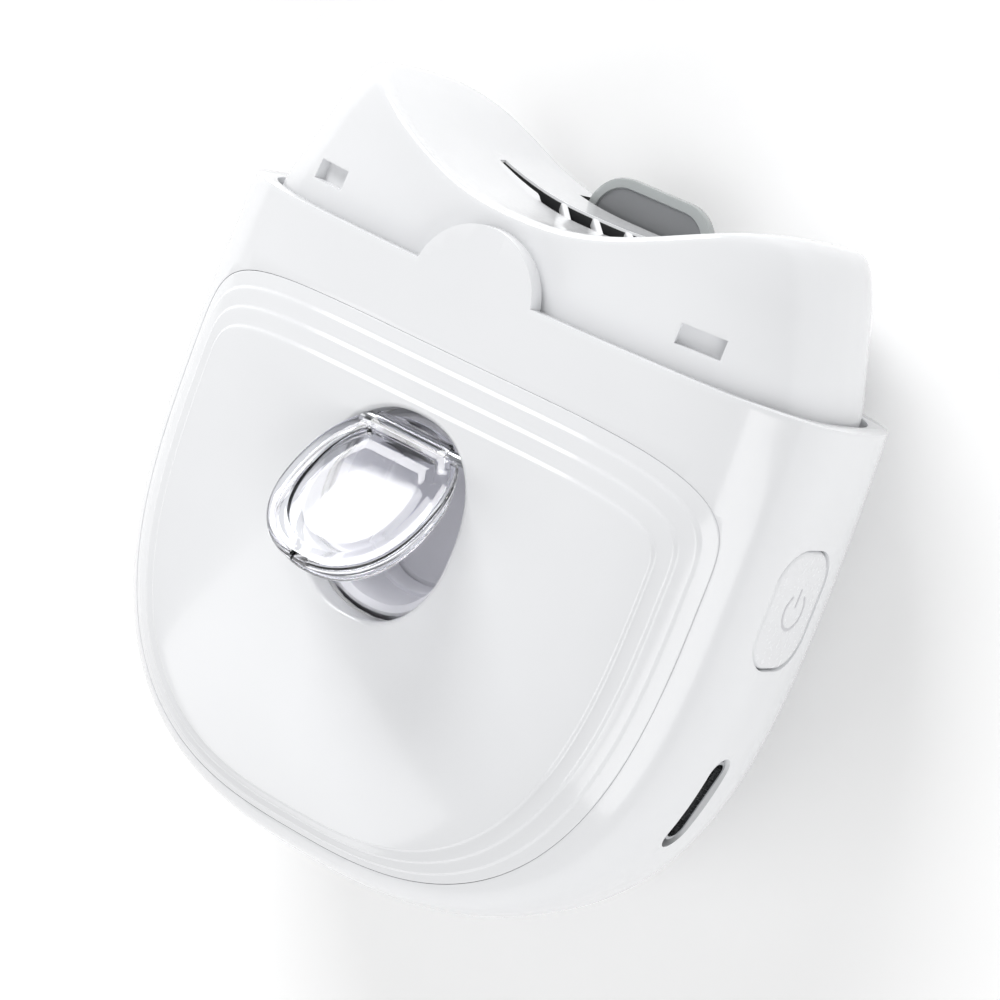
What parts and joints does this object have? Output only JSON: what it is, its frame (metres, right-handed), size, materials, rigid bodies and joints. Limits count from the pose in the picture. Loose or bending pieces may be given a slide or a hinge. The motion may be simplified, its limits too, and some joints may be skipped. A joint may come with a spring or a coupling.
{
  "type": "electric nail grinder",
  "caption": "Palm-sized electric nail grinder for pets: pebble body, saddle-shaped slotted head over a powered cutter, hinged clear dust lid, side button and charging port.",
  "frame": {"origin": "centre of the footprint, on the plane the grinder lies on", "axes": "+Z out of the front cover, +Y towards the cutting head, +X towards the power button"},
  "size_m": [0.067, 0.0716, 0.0446],
  "materials": {
    "gloss_white_abs": "moulded ABS, polished",
    "button_abs": "moulded ABS, satin",
    "smoke_plastic": "smoked polycarbonate",
    "clear_plastic": "clear polycarbonate",
    "liner_plastic": "moulded polypropylene",
    "chassis_plastic": "glass-filled nylon",
    "steel": "ground stainless steel",
    "dark_steel": "hardened tool steel",
    "acetal": "natural acetal",
    "circuit_board": "solder mask",
    "black_plastic": "moulded nylon",
    "cell_wrap": "shrink film",
    "foam": "closed-cell foam",
    "rubber": "silicone rubber"
  },
  "bodies": {
    "body": {"main_housing": "gloss_white_abs", "front_cover": "gloss_white_abs", "rear_cover": "gloss_white_abs", "rear_screw_1": "steel", "rear_screw_2": "steel", "rear_screw_3": "steel", "rear_screw_4": "steel", "lid_hinge_pin": "steel", "dust_chamber": "liner_plastic", "chamber_seal": "rubber", "bearing_left": "steel", "bearing_right": "steel", "idler_axle": "steel", "motor_can": "dark_steel", "motor_end_cap": "black_plastic", "motor_bracket": "steel", "motor_screw_1": "steel", "motor_screw_2": "steel", "chassis": "chassis_plastic", "battery_cell": "cell_wrap", "battery_pad": "foam", "circuit_board": "circuit_board", "tact_switch": "black_plastic", "switch_plunger": "rubber", "usb_shell": "steel", "usb_insert": "black_plastic"},
    "head": {"head_shell": "gloss_white_abs", "fixed_blade": "steel", "guard_hinge_pin": "steel"},
    "guard": {"guard_flap": "smoke_plastic"},
    "lid": {"dust_lid": "clear_plastic"},
    "cutter": {"cutter_drum": "dark_steel", "cutter_shaft": "steel", "cutter_gear": "acetal"},
    "idler": {"idler_gear": "acetal"},
    "rotor": {"motor_shaft": "steel", "motor_pinion": "acetal"},
    "button": {"power_button": "button_abs"}
  },
  "joints": [
    {"name": "cutter_spin", "type": "hinge", "parent": "body", "child": "cutter", "pos_m": [0, 0.02189, 0.016], "axis": [1, 0, 0], "continuous": true},
    {"name": "idler_spin", "type": "hinge", "parent": "body", "child": "idler", "pos_m": [-0.0168, 0.01179, 0.01313], "axis": [1, 0, 0], "continuous": true},
    {"name": "motor_spin", "type": "hinge", "parent": "body", "child": "rotor", "pos_m": [-0.012, 0.00362, 0.0108], "axis": [1, 0, 0], "continuous": true},
    {"name": "head_lift", "type": "slide", "parent": "body", "child": "head", "axis": [0, 1, 0], "range_m": [0, 0.024]},
    {"name": "guard_tilt", "type": "hinge", "parent": "head", "child": "guard", "pos_m": [0, 0.02769, 0.0052], "axis": [1, 0, 0], "range_deg": [0, 25]},
    {"name": "lid_swing", "type": "hinge", "parent": "body", "child": "lid", "pos_m": [0, 0.00669, 0.03294], "axis": [-1, 0, 0], "range_deg": [-42, 28]},
    {"name": "button_press", "type": "slide", "parent": "body", "child": "button", "axis": [-1, 0, 0], "range_m": [0, 0.0006], "stiffness_N_per_m": 900}
  ],
  "couplings": [
    {"joint": "idler_spin", "follows": "cutter_spin", "ratio": -0.75},
    {"joint": "motor_spin", "follows": "cutter_spin", "ratio": 1.8}
  ]
}
